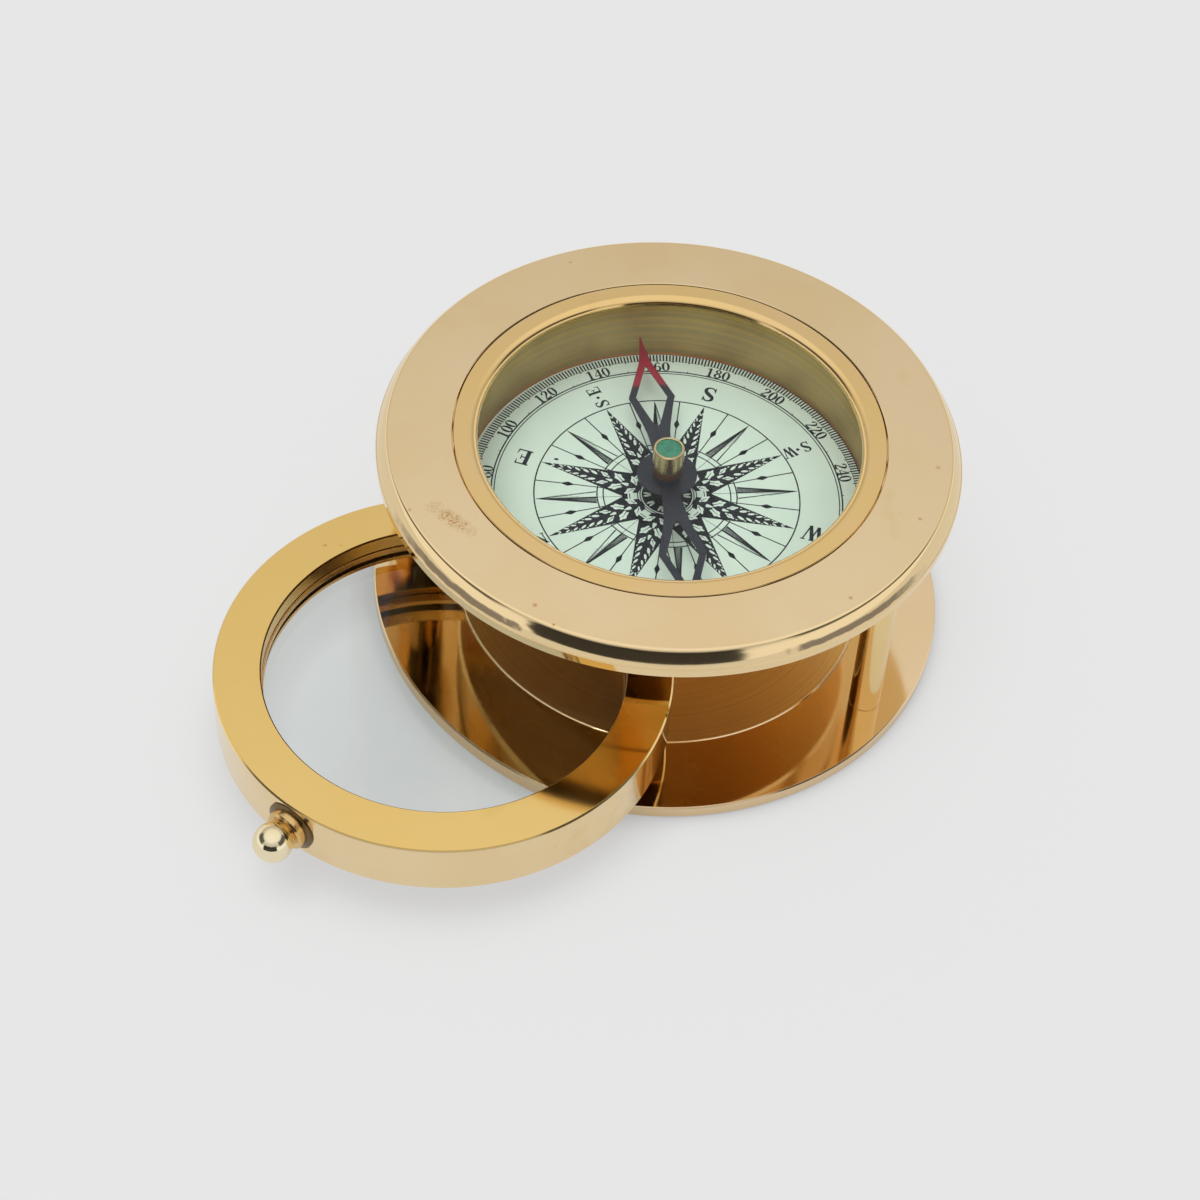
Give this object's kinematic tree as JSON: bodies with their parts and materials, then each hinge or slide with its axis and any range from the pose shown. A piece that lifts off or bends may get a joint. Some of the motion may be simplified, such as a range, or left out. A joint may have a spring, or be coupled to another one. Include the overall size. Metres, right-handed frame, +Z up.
{
  "type": "magnifier compass",
  "caption": "Round brass desk compass between two plates, with a magnifying glass in a heavy ring that swings out on an upright pivot and has a ball knob.",
  "frame": {"origin": "Centre of the base plate's flat underside, below the middle of the compass.", "axes": "+Z is up, out of the compass glass. The front is -Y. The magnifier is swung out to the front left (-X, -Y), and its pivot is at the left of the base, a little behind the middle."},
  "size_m": [0.0941, 0.094, 0.0316],
  "materials": {
    "polished_brass": "polished, lightly scratched",
    "turned_brass": "turned, satin, with concentric marks",
    "bowl_brass": "fine turned, satin, olive",
    "lens_glass": "clear, polished",
    "dial_card": "printed in black, matte",
    "needle_steel": "dark, with a red point",
    "collar_copper": "reddish, turned",
    "green_enamel": "glossy enamel",
    "pin_steel": "bright",
    "jewel_red": "polished ruby red"
  },
  "bodies": {
    "frame": {"base_plate": "polished_brass", "top_plate": "polished_brass", "post_right": "polished_brass", "screw_right": "polished_brass", "post_back": "polished_brass", "screw_back": "polished_brass", "post_pivot": "polished_brass", "screw_pivot": "polished_brass", "sleeve_lower": "polished_brass", "sleeve_upper": "polished_brass", "compass_bowl": "bowl_brass", "bezel": "polished_brass", "compass_glass": "lens_glass", "dial_card": "dial_card", "needle_pin": "pin_steel"},
    "compass_needle": {"needle": "needle_steel", "needle_collar": "collar_copper", "needle_cap": "polished_brass", "cap_enamel": "green_enamel", "cap_jewel": "jewel_red"},
    "magnifier": {"magnifier_ring": "polished_brass", "lens": "lens_glass", "lens_seat_ring": "turned_brass", "lens_retainer": "turned_brass", "knob_collar": "polished_brass", "knob": "polished_brass"}
  },
  "joints": [
    {"name": "magnifier_swing", "type": "hinge", "parent": "frame", "child": "magnifier", "pos_m": [-0.03274, 0.00607, 0.01015], "axis": [0, 0, 1], "range_deg": [-205, 69.2]},
    {"name": "needle_spin", "type": "hinge", "parent": "frame", "child": "compass_needle", "pos_m": [0, 0, 0.0265], "axis": [0, 0, 1], "continuous": true}
  ]
}
